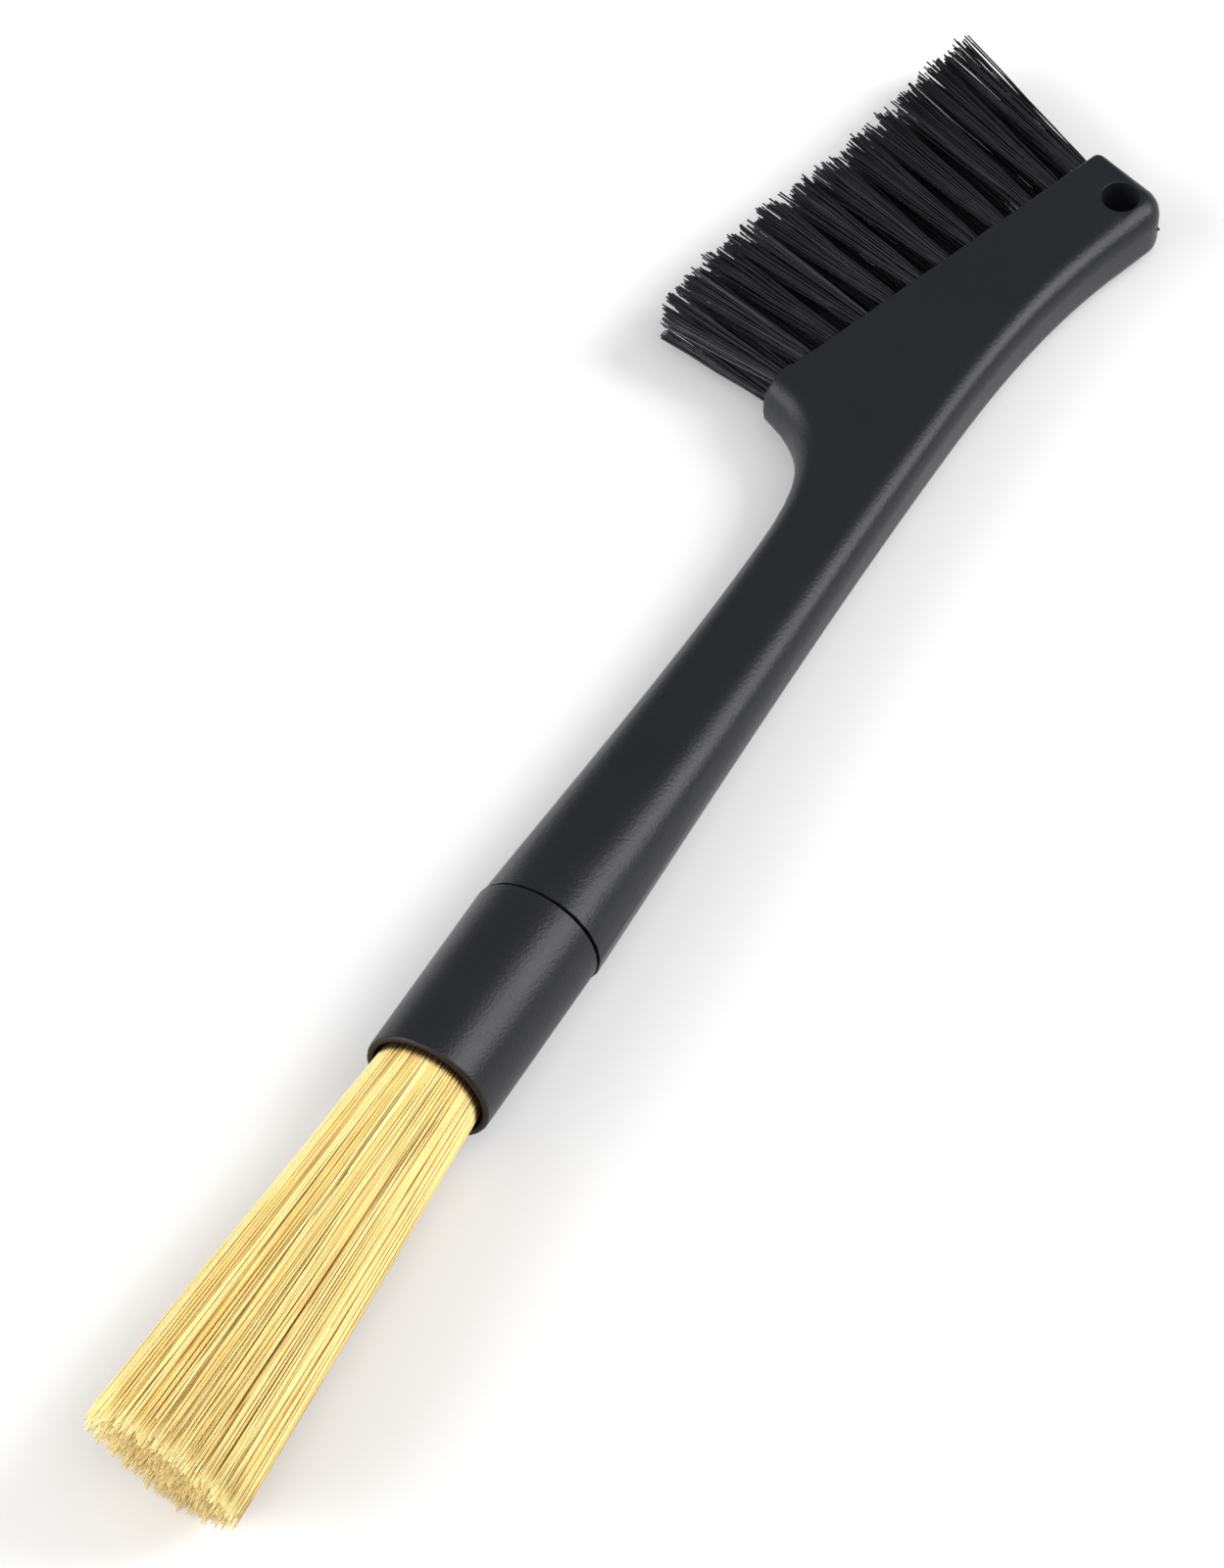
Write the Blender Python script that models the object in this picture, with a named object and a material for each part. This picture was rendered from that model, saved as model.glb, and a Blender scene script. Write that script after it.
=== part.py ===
# Coffee machine brush: a moulded handle with a comb of nylon tufts along its head, and a round
# bundle of natural bristles in a collar at the other end. Metres, +Z up.
# The brush is modelled along X with the seam of handle and collar at x = 0, the head at +X and the
# comb at +Y. At the end it is tipped a little, to lie on its bundle and its head as on a table.

import math

import bpy
import numpy as np
from mathutils import Euler, Vector
from mathutils.geometry import delaunay_2d_cdt

MM = 0.001

# Fits
FIT_GAP = 0.3 * MM              # between pieces that are pressed, glued or stapled together
CUT_OVERRUN = 2.0 * MM          # how far a cutter or a joined shape runs past the surface

# Collar
COLLAR_RADIUS = 10.25 * MM
COLLAR_WALL = 1.2 * MM
COLLAR_LENGTH = 31.6 * MM
COLLAR_SEAM_BREAK = 0.25 * MM   # broken edge at the seam

# Spigot of the handle inside the collar, and the resin in front of it
SPIGOT_LENGTH = 14.0 * MM
SPIGOT_CHAMFER = 0.8 * MM
GLUE_GROOVE_WIDTH = 1.6 * MM
GLUE_GROOVE_DEPTH = 0.5 * MM
RESIN_LENGTH = 6.5 * MM
BACKING_THICKNESS = 2.0 * MM

# Round bundle
BUNDLE_REACH = 72.3 * MM        # from the collar's mouth to the middle of the trimmed end
BUNDLE_TIP_RADIUS = 13.1 * MM
BRISTLE_RADIUS = 0.34 * MM
BRISTLE_COUNT = 210
BRISTLE_UNEVENNESS = 1.2 * MM   # of the trimmed ends
BUNDLE_LEAN = 0.9 * MM          # sideways at the tips, towards the spine's side
BUNDLE_LONG_TOP = 1.4 * MM      # the trim leaves the upper side longer than the middle
BUNDLE_LONG_SPINE_SIDE = 1.2 * MM

# Handle, seen from above: places along X from the seam, and distances from the collar's axis
HANDLE_LENGTH = 171.4 * MM
HANDLE_END_RADIUS = 10.25 * MM
HANDLE_SHIFT = 0.3 * MM         # the handle sits off the collar's axis, towards the spine
HEAD_LENGTH = 68.5 * MM         # from the heel to the tip
NECK_BEFORE_HEEL = 24.9 * MM    # from the narrowest place on the comb's side to the heel
NECK_COMB_SIDE = 6.55 * MM
WAIST_BEFORE_HEEL = 4.9 * MM    # from where the spine is nearest to the axis to the heel
SPINE_WAIST = 8.35 * MM
HEEL_REACH = 20.1 * MM
FACE_TIP = 2.4 * MM             # the bristle face ends this far on the spine's side of the axis
SPINE_TIP = 18.2 * MM
SPINE_TIP_SET_BACK = 2.9 * MM   # the tip's end slants: the spine ends this far before the face
HEEL_SWEEP_START = 16.5 * MM    # handle lengths of the curve from the neck up to the heel
HEEL_SWEEP_END = 9.5 * MM
HEEL_ANGLE = math.radians(70.0)
HEEL_CORNER_RADIUS = 0.8 * MM
TIP_FACE_CORNER_RADIUS = 1.3 * MM
TIP_SPINE_CORNER_RADIUS = 4.6 * MM
COMB_RAIL_SLOPE = -0.05        # slopes at the rails' ends, across over along
SPINE_RAIL_SLOPE = 0.028
SPINE_TIP_SLOPE = -0.42

# Handle, seen from the side
HEAD_THICKNESS = 11.7 * MM
EVEN_AFTER_HEEL = 7.1 * MM      # from this far beyond the heel the thickness is even
SPINE_FLAT = 4.1 * MM           # height of the flat between the rounded edges of the head's spine
NECK_FLAT = 3.1 * MM            # and on the comb's side, up to the heel
SEAM_FLAT = 0.24 * MM
TIP_EDGE_RADIUS = 3.0 * MM      # where the spine's rounded edge has come round to the tip
FACE_EDGE_RADIUS = 1.0 * MM     # along the bristle face
RAIL_STATIONS = 13              # points along the neck, the face and the head's spine
HEEL_STATIONS = 10
CORNER_STATIONS = 4
EDGE_STEPS = 5                  # steps of a rounded edge, over a quarter turn

# Hang hole
HANG_HOLE_RADIUS = 3.0 * MM
HANG_HOLE_INSET = 5.35 * MM     # its centre from the tip's end
HANG_HOLE_SHARE = 0.54          # where its centre is across the tip, from the bristle face
HANG_HOLE_RIM = 0.35 * MM       # the rim is broken in two steps, this deep
RIM_STEP_SHARES = (0.25, 0.4)   # of the rim, where the second step begins: outwards and down
RIM_STEP_SLOPE = 2.0            # outwards over up

# Nib that is left at the tip where the plastic ran in
NIB_RADIUS = 0.6 * MM
NIB_HEIGHT = 0.25 * MM
NIB_TAPER_SHARE = 0.4           # its radius at the end
NIB_PLACE_SHARE = 0.375         # where it sits round the tip's spine corner
NIB_SIDES = 8

# Tufts
TUFTS_IN_ROW = 12
TUFT_HOLE_RADIUS = 1.6 * MM
TUFT_HOLE_DEPTH = 5.0 * MM
ROW_HEIGHT_SHARE = 0.225        # each row's height off the middle, of the head's thickness
TUFT_HEEL_MARGIN = 4.55 * MM
TUFT_TIP_MARGIN = 2.55 * MM
TUFT_LENGTH_HEEL = 23.5 * MM    # length out of the face, at the heel and at the tip
TUFT_LENGTH_TIP = 33.5 * MM
TUFT_FAN_HEEL = math.radians(-8.5)
TUFT_FAN_TIP = math.radians(3.5)
FILAMENT_RADIUS = 0.27 * MM
FILAMENTS_AROUND = 6            # round the middle one
FILAMENT_UNEVENNESS = 1.0 * MM
FILAMENT_RING_SHARE = 0.69      # where the outer filaments leave the root, of its radius
FILAMENT_BEND_SHARE = 0.45      # a filament's bend, of its length
FILAMENT_FLARE_SHARE = 0.40     # how much of its flare it has there
MERGE_SHARE = 0.0001            # of the fit gap: points this near each other are one
STRAND_TIP_SHARE = 0.80         # a strand's thickness at its end

# Metal anchors
ANCHOR_THICKNESS = 0.35 * MM
ANCHOR_HEIGHT = 1.4 * MM
ANCHOR_BITE = 0.35 * MM         # how far each end reaches into the plastic beside the hole
ANCHOR_FOLD = 0.9 * MM          # thickness of the folded filaments under it

# Facets
COLLAR_SIDES = 32
BACKING_SIDES = 28
RIM_STEPS = 6                   # over the collar's half-round rim
HOLE_SIDES = 24
TUFT_HOLE_SIDES = 12
ROOT_SIDES = 8
SMOOTH_ANGLE = math.radians(38.0)

# Derived sizes
HEEL_PLACE = HANDLE_LENGTH - HEAD_LENGTH
NECK_PLACE = HEEL_PLACE - NECK_BEFORE_HEEL
SPINE_WAIST_PLACE = HEEL_PLACE - WAIST_BEFORE_HEEL
HEAD_START_PLACE = HEEL_PLACE + EVEN_AFTER_HEEL
SPINE_TIP_PLACE = HANDLE_LENGTH - SPINE_TIP_SET_BACK
HEAD_HALF = HEAD_THICKNESS / 2
COLLAR_BORE_RADIUS = COLLAR_RADIUS - COLLAR_WALL
SPIGOT_RADIUS = COLLAR_BORE_RADIUS - FIT_GAP
SEAM_HALF_GAP = FIT_GAP / 2
SPIGOT_END = -SPIGOT_LENGTH
RESIN_START = SPIGOT_END - FIT_GAP
RESIN_END = RESIN_START - RESIN_LENGTH
BACKING_START = RESIN_END - FIT_GAP
BACKING_FRONT = BACKING_START - BACKING_THICKNESS
MOUTH = -COLLAR_LENGTH
ROW_HEIGHT = ROW_HEIGHT_SHARE * HEAD_THICKNESS
TUFT_ROOT_RADIUS = TUFT_HOLE_RADIUS - FIT_GAP
TUFT_ROOT_DEPTH = TUFT_HOLE_DEPTH - FIT_GAP
ANCHOR_WINDOW_WIDTH = ANCHOR_THICKNESS + 2 * FIT_GAP
ANCHOR_WINDOW_HEIGHT = ANCHOR_HEIGHT + 2 * FIT_GAP
ANCHOR_DEPTH = TUFT_ROOT_DEPTH - ANCHOR_FOLD - ANCHOR_WINDOW_HEIGHT / 2
ANCHOR_LENGTH = 2 * (TUFT_HOLE_RADIUS + ANCHOR_BITE)

# The bristle face runs in a straight line from the heel to the tip.
HEEL_POINT = Vector((HEEL_PLACE, HEEL_REACH))
FACE_END_POINT = Vector((HANDLE_LENGTH, -FACE_TIP))
FACE_RUN = FACE_END_POINT - HEEL_POINT
FACE_LENGTH = FACE_RUN.length
ALONG_FACE = FACE_RUN.normalized()
OUT_OF_FACE = Vector((-ALONG_FACE.y, ALONG_FACE.x))

# The tip's end runs from the face's end to the spine's.
SPINE_END_POINT = Vector((SPINE_TIP_PLACE, -SPINE_TIP))
TIP_RUN = FACE_END_POINT - SPINE_END_POINT
UP_TIP = TIP_RUN.normalized()
INTO_TIP = Vector((-UP_TIP.y, UP_TIP.x))
HANG_HOLE_POINT = FACE_END_POINT - TIP_RUN * HANG_HOLE_SHARE + INTO_TIP * HANG_HOLE_INSET


# Small helpers

def clear_scene():
    for item in list(bpy.data.objects):
        bpy.data.objects.remove(item, do_unlink=True)


def material(name, colour, roughness, metallic=0.0):
    made = bpy.data.materials.new(name)
    made.use_nodes = True
    shader = made.node_tree.nodes["Principled BSDF"]
    shader.inputs["Base Color"].default_value = (*colour, 1.0)
    shader.inputs["Roughness"].default_value = roughness
    shader.inputs["Metallic"].default_value = metallic
    return made


def add_object(name, mesh, look, parent):
    mesh.materials.clear()
    mesh.materials.append(look)
    made = bpy.data.objects.new(name, mesh)
    bpy.context.scene.collection.objects.link(made)
    made.parent = parent
    return made


def mesh_from(name, points, faces):
    mesh = bpy.data.meshes.new(name)
    mesh.from_pydata([tuple(point) for point in points], [], faces)
    mesh.update()
    return mesh


def add_shaded(name, mesh, look, parent):
    """Smooth shading with sharp edges, the large flat faces kept flat."""
    mesh.shade_smooth()
    mesh.set_sharp_from_angle(angle=SMOOTH_ANGLE)
    made = add_object(name, mesh, look, parent)
    normals = made.modifiers.new("normals", "WEIGHTED_NORMAL")
    normals.keep_sharp = True
    return made


def cut_or_join(mesh, tool, operation):
    """Return a new mesh: the first one after a Boolean with the second."""
    base = bpy.data.objects.new("base_shape", mesh)
    other = bpy.data.objects.new("tool_shape", tool)
    for item in (base, other):
        bpy.context.scene.collection.objects.link(item)
    step = base.modifiers.new("step", "BOOLEAN")
    step.object = other
    step.operation = operation
    step.solver = "EXACT"
    graph = bpy.context.evaluated_depsgraph_get()
    result = bpy.data.meshes.new_from_object(base.evaluated_get(graph))
    for item in (base, other):
        bpy.data.objects.remove(item, do_unlink=True)
    return result


def turned(name, profile, sides, across=0.0):
    """Turn a closed profile of (place along X, radius) about X; a radius of zero is on the axis."""
    points = []
    rings = []
    for along, radius in profile:
        if radius == 0:
            rings.append([len(points)])
            points.append((along, across, 0.0))
            continue
        ring = []
        for side in range(sides):
            turn = 2 * math.pi * side / sides
            ring.append(len(points))
            points.append((along, across + radius * math.cos(turn), radius * math.sin(turn)))
        rings.append(ring)
    faces = []
    closed_tube = len(rings[0]) > 1
    pairs = list(zip(rings, rings[1:]))
    if closed_tube:
        pairs.append((rings[-1], rings[0]))
    for first, second in pairs:
        for side in range(sides):
            after = (side + 1) % sides
            quad = [first[side % len(first)], first[after % len(first)],
                    second[after % len(second)], second[side % len(second)]]
            faces.append(list(dict.fromkeys(quad)))
    return mesh_from(name, points, faces)


def smooth_step(value):
    value = min(max(value, 0.0), 1.0)
    return value * value * (3 - 2 * value)


def between(first, second, share):
    return first + (second - first) * share


def hermite(start, end, start_slope, end_slope, place):
    """Height at a place on the curve from start to end, both (place, height), with given slopes."""
    span = end[0] - start[0]
    t = (place - start[0]) / span
    return ((2 * t**3 - 3 * t**2 + 1) * start[1] + (t**3 - 2 * t**2 + t) * span * start_slope
            + (3 * t**2 - 2 * t**3) * end[1] + (t**3 - t**2) * span * end_slope)


def bezier(points, t):
    first, second, third, fourth = points
    back = 1 - t
    return (first * back**3 + second * (3 * back**2 * t) + third * (3 * back * t**2)
            + fourth * t**3)


def rounded_corner(corner, towards_before, towards_after, radius, steps):
    """Points of a fillet at a corner, between two directions that lead away from it."""
    before = towards_before.normalized()
    after = towards_after.normalized()
    half = before.angle(after) / 2
    set_back = radius / math.tan(half)
    centre = corner + (before + after).normalized() * (radius / math.sin(half))
    start = corner + before * set_back - centre
    end = corner + after * set_back - centre
    turn = start.angle_signed(end)
    points = []
    for step in range(steps + 1):
        angle = -turn * step / steps
        spun = Vector((start.x * math.cos(angle) - start.y * math.sin(angle),
                       start.x * math.sin(angle) + start.y * math.cos(angle)))
        points.append(centre + spun)
    return points


# Handle

def spine_rail(place):
    seam = (0.0, -HANDLE_END_RADIUS - HANDLE_SHIFT)
    waist = (SPINE_WAIST_PLACE, -SPINE_WAIST)
    if place < SPINE_WAIST_PLACE:
        return hermite(seam, waist, SPINE_RAIL_SLOPE, 0.0, place)
    return hermite(waist, SPINE_END_POINT, 0.0, SPINE_TIP_SLOPE, place)


def comb_rail(place):
    seam = (0.0, HANDLE_END_RADIUS - HANDLE_SHIFT)
    neck = (NECK_PLACE, NECK_COMB_SIDE)
    return hermite(seam, neck, COMB_RAIL_SLOPE, 0.0, place)


def half_thickness(place):
    share = max(1 - place / HEAD_START_PLACE, 0.0) ** 3
    return between(HEAD_HALF, HANDLE_END_RADIUS, share)


def round_edge(place, flat):
    """Radius of the neck's or the spine's edges, where the flat grows from the seam to the head."""
    share = min(place / HEAD_START_PLACE, 1.0)
    return half_thickness(place) - between(SEAM_FLAT, flat, share) / 2


def with_inward_directions(outline, side):
    """Outline points with their edge radius and the unit vector to the inside.

    side is 1 where the inside is on the left, -1 on the right. A direction that is given stays."""
    complete = []
    for index, (point, edge, given) in enumerate(outline):
        before = outline[max(index - 1, 0)][0]
        after = outline[min(index + 1, len(outline) - 1)][0]
        run = (after - before).normalized()
        inward = Vector((-run.y, run.x)) * side
        sideways = Vector((0.0, side))
        at_seam = 1 - min(point.x / HANDLE_END_RADIUS, 1.0)
        inward = inward.lerp(sideways, at_seam).normalized()
        complete.append((point, edge, given or inward))
    return complete


def neck_places():
    return [between(SEAM_HALF_GAP, NECK_PLACE, step / RAIL_STATIONS)
            for step in range(RAIL_STATIONS)]


def comb_side_outline():
    """Points from the seam along the neck, round the heel, along the face and round its corner at
    the tip. The neck's rounded edge goes up the heel and ends at the face."""
    outline = [(Vector((place, comb_rail(place))), round_edge(place, NECK_FLAT), None)
               for place in neck_places()]
    heel_edge = round_edge(NECK_PLACE, NECK_FLAT)
    neck = Vector((NECK_PLACE, NECK_COMB_SIDE))
    up_heel = Vector((math.cos(HEEL_ANGLE), math.sin(HEEL_ANGLE)))
    sweep = (neck, neck + Vector((HEEL_SWEEP_START, 0.0)), HEEL_POINT - up_heel * HEEL_SWEEP_END,
             HEEL_POINT)
    sweep_end_share = 1 - HEEL_CORNER_RADIUS / HEEL_SWEEP_END
    for step in range(HEEL_STATIONS):
        outline.append((bezier(sweep, sweep_end_share * step / HEEL_STATIONS), heel_edge, None))
    for point in rounded_corner(HEEL_POINT, -up_heel, ALONG_FACE, HEEL_CORNER_RADIUS,
                                CORNER_STATIONS):
        outline.append((point, heel_edge, ALONG_FACE))
    tip_corner = rounded_corner(FACE_END_POINT, -ALONG_FACE, -UP_TIP, TIP_FACE_CORNER_RADIUS,
                                CORNER_STATIONS)
    face_start = outline[-1][0] + ALONG_FACE * (heel_edge + FACE_EDGE_RADIUS)
    for step in range(RAIL_STATIONS):
        point = face_start.lerp(tip_corner[0], step / RAIL_STATIONS)
        outline.append((point, FACE_EDGE_RADIUS, -OUT_OF_FACE))
    for point in tip_corner:
        outline.append((point, FACE_EDGE_RADIUS, None))
    return with_inward_directions(outline, -1)


def spine_corner_points():
    back_along = Vector((-1.0, -SPINE_TIP_SLOPE))
    return rounded_corner(SPINE_END_POINT, back_along, UP_TIP, TIP_SPINE_CORNER_RADIUS,
                          2 * CORNER_STATIONS)


def spine_side_outline(count):
    """The same number of points from the seam along the spine and round its corner at the tip.

    Along the neck they sit across from the comb side's points."""
    corner_points = spine_corner_points()
    spine_end = corner_points[0].x
    head_stations = count - RAIL_STATIONS - len(corner_points)
    places = neck_places()
    places += [between(NECK_PLACE, spine_end, step / head_stations)
               for step in range(head_stations)]
    outline = [(Vector((place, spine_rail(place))), round_edge(place, SPINE_FLAT), None)
               for place in places]
    for step, point in enumerate(corner_points):
        share = smooth_step(step / (len(corner_points) - 1))
        edge = between(round_edge(HEAD_START_PLACE, SPINE_FLAT), TIP_EDGE_RADIUS, share)
        outline.append((point, edge, None))
    return with_inward_directions(outline, 1)


def handle_body():
    """The moulded body: its outline with rounded edges, closed over the top, below and at the seam."""
    comb_side = comb_side_outline()
    spine_side = spine_side_outline(len(comb_side))
    # From the tip down the comb's side to the seam, and back along the spine: the inside is on
    # the left all the way.
    outline = list(reversed(comb_side)) + spine_side
    angles = [math.radians(90.0) * step / EDGE_STEPS for step in range(EDGE_STEPS + 1)]
    points = []
    rows = []
    for point, edge, direction in outline:
        half = half_thickness(point.x)
        row = []
        heights = [(-1, angle) for angle in reversed(angles)] + [(1, angle) for angle in angles]
        for side, angle in heights:
            place = point + direction * (edge * (1 - math.cos(angle)))
            height = side * (half - edge + edge * math.sin(angle))
            row.append(len(points))
            points.append((place.x, place.y, height))
        rows.append(row)
    faces = []
    count = len(comb_side)
    levels = len(rows[0])
    for index in range(len(rows)):
        if index == count - 1:
            continue
        here = rows[index]
        there = rows[(index + 1) % len(rows)]
        for level in range(levels - 1):
            faces.append([here[level], there[level], there[level + 1], here[level + 1]])
    flat_from = next(step for step in range(count)
                     if min(comb_side[step][0].x, spine_side[step][0].x) >= HEAD_START_PLACE)
    for step in range(flat_from):
        comb_here = rows[count - 1 - step]
        comb_next = rows[count - 2 - step]
        spine_here = rows[count + step]
        spine_next = rows[count + step + 1]
        faces.append([comb_here[-1], spine_here[-1], spine_next[-1], comb_next[-1]])
        faces.append([comb_next[0], spine_next[0], spine_here[0], comb_here[0]])
    head_rows = rows[:count - flat_from] + rows[count + flat_from:]
    faces.append([row[-1] for row in head_rows])
    faces.append([row[0] for row in reversed(head_rows)])
    faces.append(rows[count] + list(reversed(rows[count - 1])))
    return mesh_from("handle", points, faces)


def spigot_shape():
    """The round spigot with two glue grooves, running into the handle by the overrun."""
    groove_inner = SPIGOT_RADIUS - GLUE_GROOVE_DEPTH
    profile = [(SPIGOT_END, 0.0), (SPIGOT_END, SPIGOT_RADIUS - SPIGOT_CHAMFER),
               (SPIGOT_END + SPIGOT_CHAMFER, SPIGOT_RADIUS)]
    for third in (1, 2):
        middle = SPIGOT_END * (1 - third / 3)
        profile.append((middle - GLUE_GROOVE_WIDTH / 2, SPIGOT_RADIUS))
        profile.append((middle - GLUE_GROOVE_WIDTH / 2 + GLUE_GROOVE_DEPTH / 2, groove_inner))
        profile.append((middle + GLUE_GROOVE_WIDTH / 2 - GLUE_GROOVE_DEPTH / 2, groove_inner))
        profile.append((middle + GLUE_GROOVE_WIDTH / 2, SPIGOT_RADIUS))
    profile.append((CUT_OVERRUN, SPIGOT_RADIUS))
    profile.append((CUT_OVERRUN, 0.0))
    return turned("spigot", profile, COLLAR_SIDES)


def tuft_frame(index):
    """Middle of a tuft at the face, its direction and the direction across it, all in plan."""
    share = index / (TUFTS_IN_ROW - 1)
    along = between(TUFT_HEEL_MARGIN, FACE_LENGTH - TUFT_TIP_MARGIN, share)
    lean = between(TUFT_FAN_HEEL, TUFT_FAN_TIP, share)
    base = HEEL_POINT + ALONG_FACE * along
    out = OUT_OF_FACE * math.cos(lean) + ALONG_FACE * math.sin(lean)
    across = Vector((-out.y, out.x))
    return base, out, across


def in_tuft(base, out, across, height, u, v, w):
    """A point from tuft coordinates: u along the row to the heel, v up, w out of the face."""
    place = base + across * u + out * w
    return (place.x, place.y, height + v)


def tuft_places():
    return [(row, index, height)
            for row, height in (("upper", ROW_HEIGHT), ("lower", -ROW_HEIGHT))
            for index in range(TUFTS_IN_ROW)]


def prism_points(frame, height, section, near, far, far_share=1.0):
    base, out, across = frame
    low = [in_tuft(base, out, across, height, u, v, near) for u, v in section]
    high = [in_tuft(base, out, across, height, u * far_share, v * far_share, far)
            for u, v in section]
    return low + high


def prism_faces(first, sides):
    faces = [[first + side for side in reversed(range(sides))],
             [first + sides + side for side in range(sides)]]
    for side in range(sides):
        after = (side + 1) % sides
        faces.append([first + side, first + after, first + sides + after, first + sides + side])
    return faces


def regular_section(radius, sides, flats_across=True):
    """A regular polygon. With flats_across, two of its flats face along the row."""
    start = 0.5 if flats_across else 0.0
    section = []
    for side in range(sides):
        turn = 2 * math.pi * (side + start) / sides
        section.append((radius * math.cos(turn), radius * math.sin(turn)))
    return section


def prism_cutters(name, section, near, far):
    """One prism at every tuft's place, in one mesh."""
    points = []
    faces = []
    for row, index, height in tuft_places():
        faces += prism_faces(len(points), len(section))
        points += prism_points(tuft_frame(index), height, section, near, far)
    return mesh_from(name, points, faces)


def rectangle(width, height):
    return [(-width / 2, -height / 2), (width / 2, -height / 2),
            (width / 2, height / 2), (-width / 2, height / 2)]


def hang_hole_cutter():
    """A cylinder through the head whose ends flare, which breaks the hole's rims."""
    step_out = HANG_HOLE_RIM * RIM_STEP_SHARES[0]
    step_down = HANG_HOLE_RIM * RIM_STEP_SHARES[1]
    levels = [(HEAD_HALF - HANG_HOLE_RIM, 0.0), (HEAD_HALF - step_down, step_out),
              (HEAD_HALF + CUT_OVERRUN, step_out + RIM_STEP_SLOPE * (step_down + CUT_OVERRUN))]
    rings = [(-height, wider) for height, wider in reversed(levels)] + levels
    points = []
    faces = [[side for side in reversed(range(HOLE_SIDES))]]
    for height, wider in rings:
        for side in range(HOLE_SIDES):
            turn = 2 * math.pi * side / HOLE_SIDES
            radius = HANG_HOLE_RADIUS + wider
            rim = HANG_HOLE_POINT + Vector((math.cos(turn), math.sin(turn))) * radius
            points.append((rim.x, rim.y, height))
    for ring in range(len(rings) - 1):
        for side in range(HOLE_SIDES):
            after = (side + 1) % HOLE_SIDES
            low = ring * HOLE_SIDES
            high = low + HOLE_SIDES
            faces.append([low + side, low + after, high + after, high + side])
    top = (len(rings) - 1) * HOLE_SIDES
    faces.append([top + side for side in range(HOLE_SIDES)])
    return mesh_from("hang_hole", points, faces)


def nib_shape():
    """The nib on the spine's corner at the tip, running into the handle."""
    corner_points = spine_corner_points()
    base = corner_points[round(NIB_PLACE_SHARE * (len(corner_points) - 1))]
    out = (SPINE_END_POINT - base).normalized()
    frame = (base, out, Vector((-out.y, out.x)))
    points = prism_points(frame, 0.0, regular_section(NIB_RADIUS, NIB_SIDES), -CUT_OVERRUN,
                          NIB_HEIGHT, NIB_TAPER_SHARE)
    return mesh_from("nib", points, prism_faces(0, NIB_SIDES))


def make_handle(look, parent):
    mesh = cut_or_join(handle_body(), spigot_shape(), "UNION")
    mesh = cut_or_join(mesh, nib_shape(), "UNION")
    holes = prism_cutters("tuft_holes", regular_section(TUFT_HOLE_RADIUS, TUFT_HOLE_SIDES),
                          -TUFT_HOLE_DEPTH, CUT_OVERRUN)
    mesh = cut_or_join(mesh, holes, "DIFFERENCE")
    slot = rectangle(ANCHOR_LENGTH + 2 * FIT_GAP, ANCHOR_WINDOW_WIDTH)
    slots = prism_cutters("anchor_slots", slot, -ANCHOR_DEPTH - ANCHOR_WINDOW_HEIGHT / 2,
                          -ANCHOR_DEPTH + ANCHOR_WINDOW_HEIGHT / 2)
    mesh = cut_or_join(mesh, slots, "DIFFERENCE")
    mesh = cut_or_join(mesh, hang_hole_cutter(), "DIFFERENCE")
    return add_shaded("handle", mesh, look, parent)


# Collar and what it holds

def make_collar(look, parent):
    rim = COLLAR_WALL / 2
    middle = COLLAR_RADIUS - rim
    seam_end = -SEAM_HALF_GAP
    profile = [(seam_end, COLLAR_BORE_RADIUS + COLLAR_SEAM_BREAK),
               (seam_end - COLLAR_SEAM_BREAK, COLLAR_BORE_RADIUS)]
    for step in range(RIM_STEPS + 1):
        turn = math.pi * step / RIM_STEPS
        profile.append((MOUTH + rim - rim * math.sin(turn), middle - rim * math.cos(turn)))
    profile.append((seam_end - COLLAR_SEAM_BREAK, COLLAR_RADIUS))
    profile.append((seam_end, COLLAR_RADIUS - COLLAR_SEAM_BREAK))
    mesh = turned("collar", profile, COLLAR_SIDES)
    return add_shaded("collar", mesh, look, parent)


def make_resin(look, parent):
    """The cast resin between the spigot and the backing slice of the bristles."""
    edge = COLLAR_SEAM_BREAK
    profile = [(RESIN_END, 0.0), (RESIN_END, SPIGOT_RADIUS - edge), (RESIN_END + edge, SPIGOT_RADIUS),
               (RESIN_START - edge, SPIGOT_RADIUS), (RESIN_START, SPIGOT_RADIUS - edge),
               (RESIN_START, 0.0)]
    mesh = turned("potting_resin", profile, COLLAR_SIDES)
    return add_shaded("potting_resin", mesh, look, parent)


# Strands that grow out of a flat backing

def strand_field(border, strands, rings_of, place):
    """Mesh data for a backing's front face with three-sided strands growing out of it.

    border is the front face's outline. strands are (u, v, radius, turn) on it. rings_of gives the
    further triangles of a strand, and place turns (u, v, w) into a point. Border points come first
    in the returned points, in order."""
    flat = [Vector(point) for point in border]
    cells = [list(range(len(border)))]
    for u, v, radius, turn in strands:
        cell = []
        for corner in range(3):
            angle = turn + 2 * math.pi * corner / 3
            cell.append(len(flat))
            flat.append(Vector((u + radius * math.cos(angle), v + radius * math.sin(angle))))
        cells.append(cell)
    merge_distance = FIT_GAP * MERGE_SHARE
    out = delaunay_2d_cdt(flat, [], cells, 1, merge_distance, True)
    front, triangles, owners, sources = out[0], out[2], out[5], out[3]
    order = [0] * len(flat)
    for index, source in enumerate(sources):
        order[source[0]] = index
    renumber = {made: given for given, made in enumerate(order)}
    points = [place(point.x, point.y, 0.0) for point in flat]
    faces = []
    for triangle, owner in zip(triangles, owners):
        if max(owner) == 0:
            faces.append([renumber[index] for index in triangle])
    for number, strand in enumerate(strands):
        below = cells[number + 1]
        for ring in rings_of(number, strand):
            above = []
            for u, v, w in ring:
                above.append(len(points))
                points.append(place(u, v, w))
            for corner in range(3):
                after = (corner + 1) % 3
                faces.append([below[corner], below[after], above[after], above[corner]])
            below = above
        faces.append(below)
    return points, faces


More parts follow.
